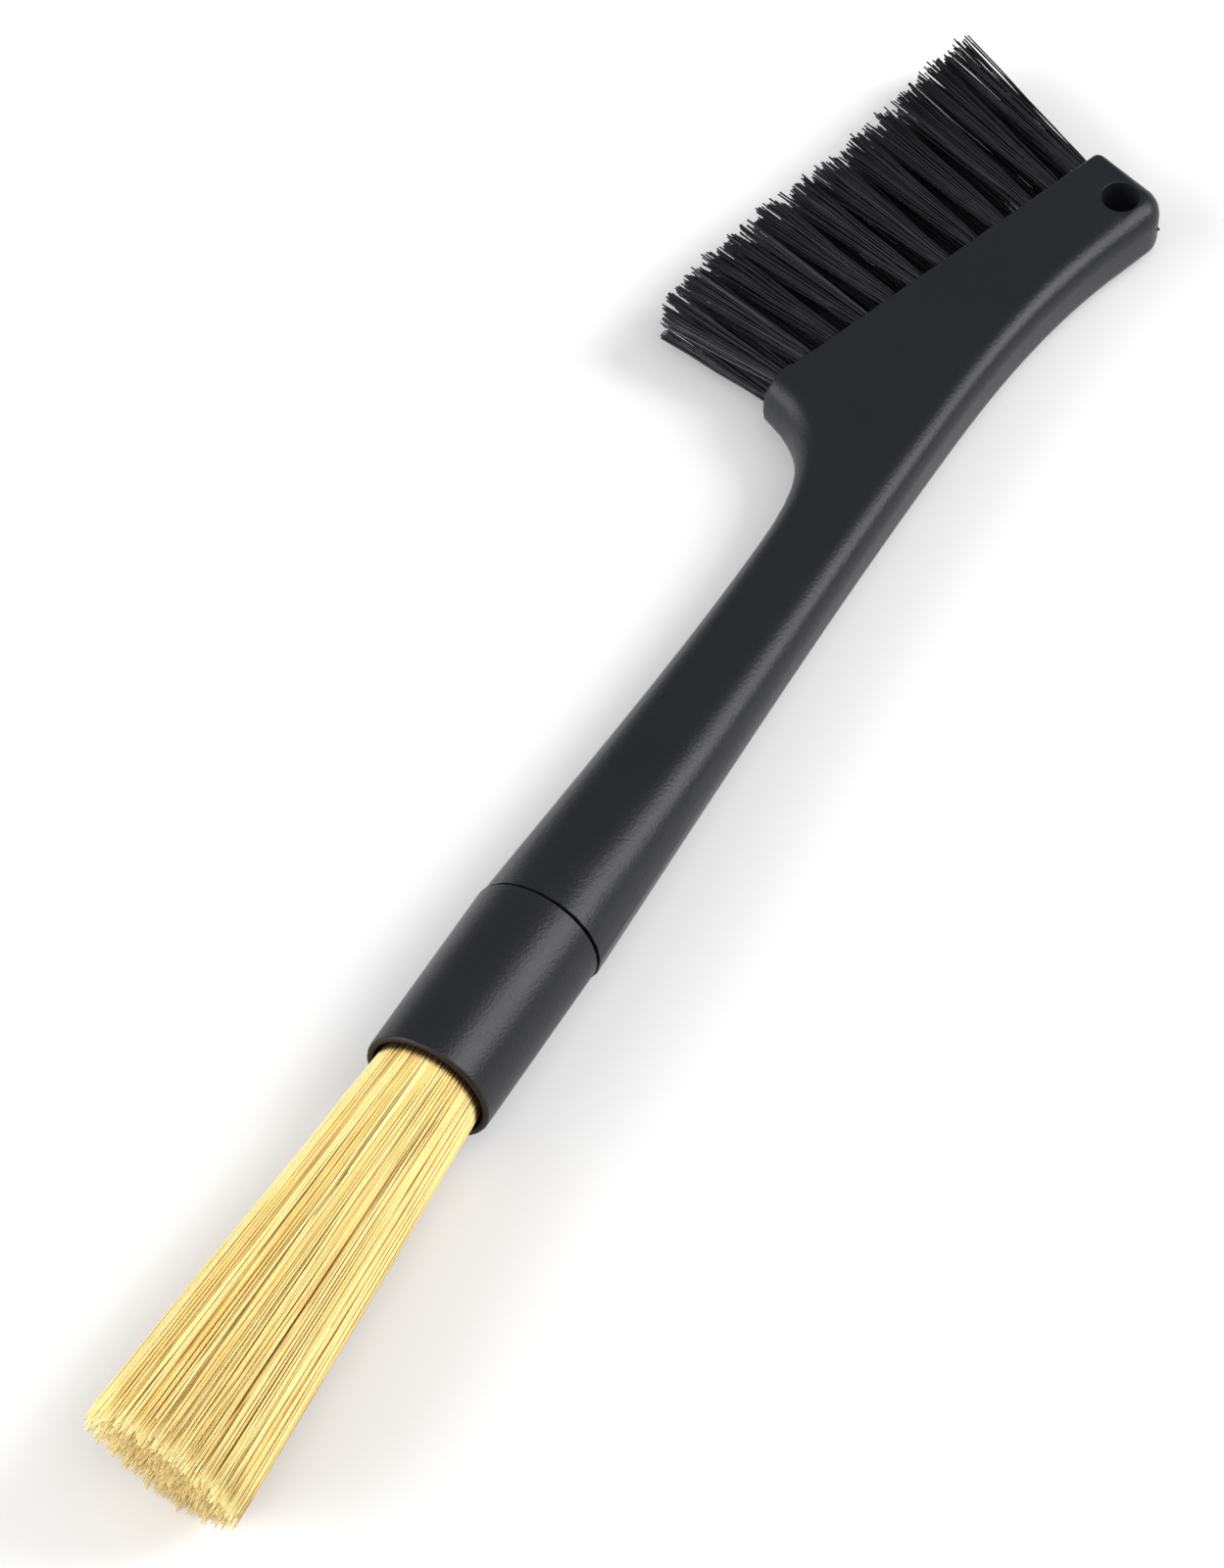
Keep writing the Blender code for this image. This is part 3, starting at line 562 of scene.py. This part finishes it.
def bristlePaths():
    chance = np.random.default_rng(bundle["seed"])
    count = bundle["count"]
    roots, pulled = bristleRoots(chance)
    tips = bristleTips(chance, pulled)
    reach = bristleReach(chance, roots)
    shares = np.array(bundle["rings"])
    waves = chance.normal(0, bundle["wave"], (count, len(shares), 2))
    waves[:, [0, -1]] = 0
    flat = roots[:, None] * (1 - shares)[:, None] + tips[:, None] * shares[:, None] + waves
    along = bundle["bend"] - reach[:, None] * shares
    fan = np.concatenate([along[..., None], flat], axis=2)
    start = np.column_stack([np.full(count, bundle["start"]), roots])[:, None]
    paths = np.concatenate([start, fan], axis=1) * mm
    thick = np.clip((along - along[:, -1:]) / bundle["taper"], 0, 1)
    radii = bundle["radius"] * mm * (bundle["tipShare"] + (1 - bundle["tipShare"]) * thick)
    radii = np.concatenate([radii[:, :1], radii], axis=1)
    radii *= chance.uniform(*bundle["thickness"], (count, 1))
    # painted shade: the inner and the lower bristles, which the lamps hardly reach, take darker
    # tones
    outer = shareBetween(np.linalg.norm(roots, axis=1) / bundle["fieldRadius"],
                         *bundle["inside"])
    upper = shareBetween(roots[:, 1] / bundle["fieldRadius"], *bundle["below"])
    lightest = bundle["darkest"] + (1 - bundle["darkest"]) * outer * upper
    return keepAbove(paths, radii), radii, chance.random(count) * lightest


def keepAbove(paths, radii):
    # no strand sinks into the surface that the brush lies on
    turn = np.array(toWorld.to_3x3())
    height = paths @ turn[2] + toWorld.translation.z
    lowest = radii + bundle["floorRoom"] * mm
    paths = paths.copy()
    paths[..., 2] += np.maximum(lowest - height, 0)
    return paths


def bristleFinish(look):
    finish = Finish("naturalBristle", {"Specular IOR Level": look["specular"]})
    tone = finish.attribute("tone")
    along = finish.attribute("along")
    streaks = finish.streaks(look["streakScales"])
    mixed = ((streaks - 0.5) * look["streakAmount"] + tone).limited()
    colour = finish.add("ShaderNodeValToRGB", {"stops": look["stops"]}, {0: mixed})
    atTip = ((along - look["tipStart"]) / (1 - look["tipStart"])).limited()
    tipShare = tone * (1 - look["tipLeast"]) + look["tipLeast"]
    colour = finish.blended(atTip * tipShare, colour, look["tip"])
    # painted shade: the bristles darken where they leave the collar's mouth, in the rim's shadow
    out = finish.outOfMouth(*mouthPlane())
    gap = ((look["gapReach"] - out) / look["gapFade"]).limited()
    shade = gap * gap * (3 - gap * 2)  # eases in and out
    finish.feed({
        "Base Color": finish.blended(shade, colour, look["paintedMouthShade"]),
        "Roughness": streaks * look["roughnessSpread"] + gap * look["gapRoughness"]
        + look["roughness"],
    })
    return finish.material


def makeBundle():
    paths, radii, tones = bristlePaths()
    mesh = tubeMesh("naturalBristles", paths, radii, tones, bundle["sides"])
    addPiece("naturalBristles", mesh, bristleFinish(bristleLook),
             "natural_bristles")


makeBundle()
print("natural bristles made")


# Nylon tufts of the comb

comb = {
    "heel": (102.9, 20.1),  # the face's ends, on the head
    "faceEnd": (171.4, -2.4),
    "tufts": 12,
    "heelMargin": 4.55,  # from the face's ends to the middle of the first and last hole
    "tipMargin": 2.55,
    "rowHeight": 2.6325,  # of each row above or below the head's middle
    "fan": {"upper": (-9.3, 3.5), "lower": (-4.1, 0.5)},  # lean of the first and last tuft
    "filaments": 32,  # each is folded round the anchor and ends twice
    "radius": 0.14,
    "thickness": (0.9, 1.1),  # thinnest and thickest filament, times the radius
    "sides": 5,
    "rings": (0.0, 0.1, 0.28, 0.5, 0.75, 1.0),  # shares of the length outside the hole
    "holeRoom": 1.15,  # radius in the hole that the filaments fill
    "anchorRoom": 0.36,  # and the height that they leave to the anchor on each side
    "foldDepth": 3.75,  # of the shallowest fold below the face
    "foldSpread": 0.65,
    "foldHeight": 0.3,  # how far above that depth the legs begin to close
    "foldWidth": 0.6,  # share of the legs' distance that is left at the bottom
    "spreadAlong": 2.95,  # half of a tuft's width at its ends, along the face
    "spreadUp": 1.7,  # and through the thickness
    "spreadJitter": 0.3,
    "trim": [(-8.0, 19.7), (-3.8, 20.4), (0.0, 22.8), (6.0, 25.0), (23.0, 27.0), (45.0, 28.4),
             (60.0, 30.4), (72.0, 32.5), (80.0, 32.6)],  # along the face and out of it
    "trimGuess": 28.0,  # length by which a filament's place on the trim is found
    "uneven": (-0.8, 0.48),  # shortest and longest against the trim
    "lumps": 6,  # bunches that the filaments of a tuft gather in
    "lumpEdge": 0.88,  # share of the hole's radius where the outermost bunches are
    "lumpJitter": 0.07,
    "lumpPull": 0.55,
    "lumpUneven": 0.7,
    "lumpTone": 0.6,  # share of a filament's tone that its bunch gives
    "wave": 0.08,
    "strayShare": 0.07,
    "strayWander": 0.8,
    "wander": 0.25,
    "lightness": [(0.0, 1.15), (0.45, 0.8), (1.0, 0.4)],  # painted sheen: how much lighter the tufts are, heel to tip
    "apart": (2, 0.5),  # filaments that stand off at the comb's end, and how far
    "seed": 5,
}

nylonLook = {
    "colour": (0.0040, 0.0038, 0.0054),
    # dustAndSheen: a lighter grey, both a dusting and painted highlight streaks along the
    # filaments
    "dustAndSheen": (0.0750, 0.0730, 0.0850),
    "toneSheen": 0.70,  # painted sheen: the lightest filaments take the lighter grey, as highlight streaks
    "cloudDust": 0.10,  # and a dusting in clouds over all of them
    "specular": 0.22,
    "roughness": 0.28,
    "roughnessSpread": 0.30,
    "cloudScales": (500.0, 500.0, 500.0),
}

heel = np.array(comb["heel"])
faceRun = np.array(comb["faceEnd"]) - heel
faceLength = np.linalg.norm(faceRun)
alongFace = faceRun / faceLength
outOfFace = np.array([-alongFace[1], alongFace[0]])


def tuftFeet(chance):
    # where the filaments leave the hole: across it, and up from the anchor in its middle
    count, anchor = comb["filaments"], comb["anchorRoom"]
    across = chance.uniform(-1, 1, count) * comb["holeRoom"]
    room = np.sqrt(comb["holeRoom"] ** 2 - across ** 2)
    return across, anchor + (np.maximum(room, anchor) - anchor) * chance.random(count)


def endsAcross(chance, across, lumps, lump, standOff):
    # the ends fan out along the face and gather in their bunches
    count = comb["filaments"]
    stray = chance.random(count) < comb["strayShare"]
    wander = np.where(stray, comb["strayWander"], comb["wander"])
    gathered = across / comb["holeRoom"]
    gathered = gathered + (lumps[lump] - gathered) * comb["lumpPull"]
    ends = gathered * comb["spreadAlong"] + chance.normal(0, 1, count) * wander
    if standOff:
        last, distance = comb["apart"]
        ends = np.minimum(ends, comb["spreadAlong"])
        ends[np.argsort(across)[-last:]] = comb["spreadAlong"] + distance
    return ends


def trimmedLength(chance, ends, lump):
    length = np.interp(ends, *np.array(comb["trim"]).T)
    length = length + chance.uniform(*comb["uneven"], comb["filaments"])
    return length + chance.uniform(-1, 1, comb["lumps"])[lump] * comb["lumpUneven"]


def tuftPaths(row, index, height):
    # points are first (along the face, through the thickness, out of the face)
    chance = np.random.default_rng([comb["seed"], index, ord(row[0])])
    count = comb["filaments"]
    share = index / (comb["tufts"] - 1)
    base = comb["heelMargin"] + (faceLength - comb["heelMargin"] - comb["tipMargin"]) * share
    heelFan, tipFan = comb["fan"][row]
    slope = math.tan(math.radians(heelFan + (tipFan - heelFan) * share))
    standOff = row == "upper" and index == comb["tufts"] - 1
    across, up = tuftFeet(chance)
    lumps = np.linspace(-comb["lumpEdge"], comb["lumpEdge"], comb["lumps"])
    lumps = lumps + chance.normal(0, comb["lumpJitter"], comb["lumps"])
    lump = np.argmin(np.abs(across[:, None] / comb["holeRoom"] - lumps), axis=1)
    lumpTone = chance.random(comb["lumps"])
    shares = np.array(comb["rings"])
    legs = []
    for side in (1, -1):
        endAcross = endsAcross(chance, across, lumps, lump, standOff)
        endUp = side * up / comb["holeRoom"] * comb["spreadUp"]
        endUp = endUp + chance.normal(0, comb["spreadJitter"], count)
        guess = base + endAcross + comb["trimGuess"] * slope
        length = trimmedLength(chance, guess, lump)[:, None]
        waves = chance.normal(0, comb["wave"], (2, count, len(shares)))
        waves[:, :, 0] = 0
        slide = across[:, None] * (1 - shares) + endAcross[:, None] * shares
        rise = side * up[:, None] * (1 - shares) + endUp[:, None] * shares
        legs.append(np.stack([base + slide + slope * length * shares + waves[0],
                              rise + waves[1], length * shares], axis=2))
    depth = comb["foldDepth"] + chance.random(count) * comb["foldSpread"]
    closing = np.full(count, comb["foldDepth"] - comb["foldHeight"])
    folds = [np.stack([np.column_stack([base + across, side * up, -closing]),
                       np.column_stack([base + across, side * up * comb["foldWidth"], -depth])],
                      axis=1) for side in (1, -1)]
    points = np.concatenate([legs[0][:, ::-1], folds[0], folds[1][:, ::-1], legs[1]], axis=1)
    plan = heel + points[..., :1] * alongFace + points[..., 2:] * outOfFace
    paths = np.concatenate([plan, height + points[..., 1:2]], axis=2) * mm
    radii = np.full(points.shape[:2], comb["radius"] * mm)
    radii *= chance.uniform(*comb["thickness"], (count, 1))
    tones = lumpTone[lump] * comb["lumpTone"] + chance.random(count) * (1 - comb["lumpTone"])
    # the tufts' tones fall from heel to tip as painted sheen
    return paths, radii, tones * np.interp(share, *np.array(comb["lightness"]).T)


def nylonFinish(look):
    finish = Finish("blackNylon", {"Specular IOR Level": look["specular"]})
    tone = finish.attribute("tone")
    squared = tone * tone
    cloud = finish.streaks(look["cloudScales"])
    # painted sheen: the lightest filaments take the lighter grey as highlight streaks; the clouds
    # over all are a dusting
    lightness = squared * squared * look["toneSheen"] + cloud * look["cloudDust"]
    finish.feed({
        "Base Color": finish.blended(lightness, look["colour"], look["dustAndSheen"]),
        "Roughness": (1.0 - tone) * look["roughnessSpread"] + look["roughness"],
    })
    return finish.material


def makeComb():
    material = nylonFinish(nylonLook)
    for row, height in (("upper", comb["rowHeight"]), ("lower", -comb["rowHeight"])):
        for index in range(comb["tufts"]):
            paths, radii, tones = tuftPaths(row, index, height)
            name = f"{row}Tuft{index + 1:02d}"
            mesh = tubeMesh(name, paths, radii, tones, comb["sides"])
            addPiece(name, mesh, material, f"tuft_{row}_{index + 1:02d}")


makeComb()
print("comb made")
